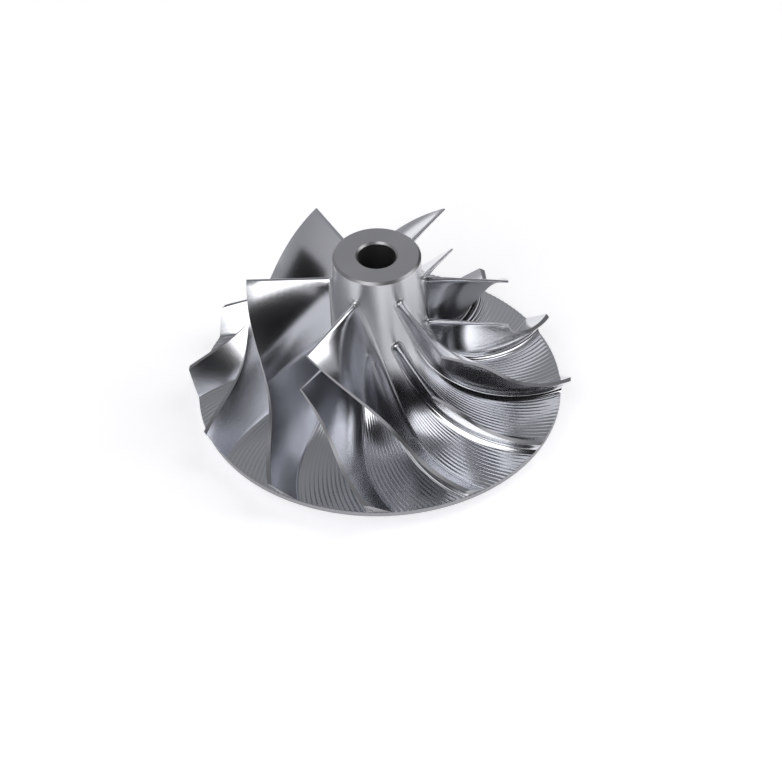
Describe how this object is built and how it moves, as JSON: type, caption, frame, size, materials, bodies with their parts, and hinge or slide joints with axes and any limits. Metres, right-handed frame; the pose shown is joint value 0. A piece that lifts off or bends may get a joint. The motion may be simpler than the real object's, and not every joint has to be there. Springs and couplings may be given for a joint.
{
  "type": "compressor wheel",
  "caption": "Machined centrifugal compressor wheel: curved hub with a central bore, full and splitter blades swept back to overhanging tips, and a thin disc with a thickened back.",
  "frame": {"origin": "bore axis in the plane of the rear seat, which is the lowest face", "axes": "+Z along the bore towards the nose; the first full blade starts just below +X and the blades run anticlockwise seen from the nose"},
  "size_m": [0.081, 0.081, 0.0421],
  "materials": {
    "machined_aluminium": "milled bright, fine tool marks on the blades and the hub floor, turned nose and back"
  },
  "bodies": {
    "root": {"compressor_wheel": "machined_aluminium"}
  },
  "joints": []
}
